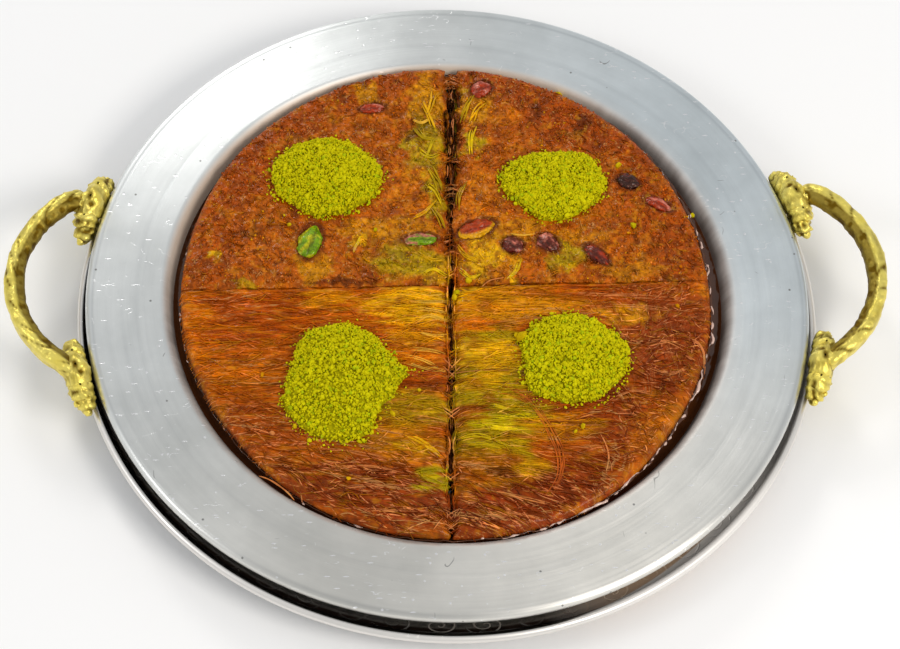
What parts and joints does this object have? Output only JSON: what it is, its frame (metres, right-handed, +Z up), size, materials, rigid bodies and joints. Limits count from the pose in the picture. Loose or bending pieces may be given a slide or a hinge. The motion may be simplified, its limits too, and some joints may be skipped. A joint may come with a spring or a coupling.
{
  "type": "kunafa in its plate on a handled tray",
  "caption": "Round kunafa cut into quarters, with pistachio filling and heaps of ground pistachio, in syrup in a wide-rimmed plate that sits on a polished tray with ring handles.",
  "frame": {"origin": "middle of the tray's flat base, on the surface it stands on", "axes": "+X to the right handle, +Y to the back as seen in the picture, +Z up"},
  "size_m": [0.3656, 0.3078, 0.0344],
  "materials": {
    "polished_steel": "polished to a mirror, with scrolls engraved in the flange",
    "spun_aluminium": "spun, satin, with fine scratches",
    "cast_brass": "cast with leaf relief, bright on the ridges and dark in the recesses",
    "combed_crust": "combed pastry strands glazed with syrup, orange to maroon brown",
    "crumbed_crust": "short clumped pastry strands soaked in syrup, orange to dark brown",
    "pistachio_filling": "moist yellow-green pistachio paste with strands",
    "ground_pistachio": "dry yellow-green grains",
    "pistachio_skin": "plum and brown nut skin glazed with syrup",
    "pistachio_flesh": "green nut flesh with yellow edges",
    "syrup": "clear dark brown syrup, wet"
  },
  "bodies": {
    "root": {"under_tray": "polished_steel", "serving_plate": "spun_aluminium", "handle_left": "cast_brass", "handle_right": "cast_brass", "kunafa_front_left": "combed_crust", "kunafa_front_right": "combed_crust", "kunafa_back_left": "crumbed_crust", "kunafa_back_right": "crumbed_crust", "filling_front_left": "pistachio_filling", "filling_front_right": "pistachio_filling", "filling_back_left": "pistachio_filling", "filling_back_right": "pistachio_filling", "pistachio_heap_front_left": "ground_pistachio", "pistachio_heap_front_right": "ground_pistachio", "pistachio_heap_back_left": "ground_pistachio", "pistachio_heap_back_right": "ground_pistachio", "pistachio_red": "pistachio_skin", "pistachio_plum_near": "pistachio_skin", "pistachio_plum_middle": "pistachio_skin", "pistachio_plum_far": "pistachio_skin", "pistachio_dark": "pistachio_skin", "pistachio_edge": "pistachio_skin", "pistachio_rear_left": "pistachio_skin", "pistachio_rear_right": "pistachio_skin", "pistachio_green": "pistachio_flesh", "pistachio_sliver": "pistachio_flesh", "syrup": "syrup"}
  },
  "joints": []
}
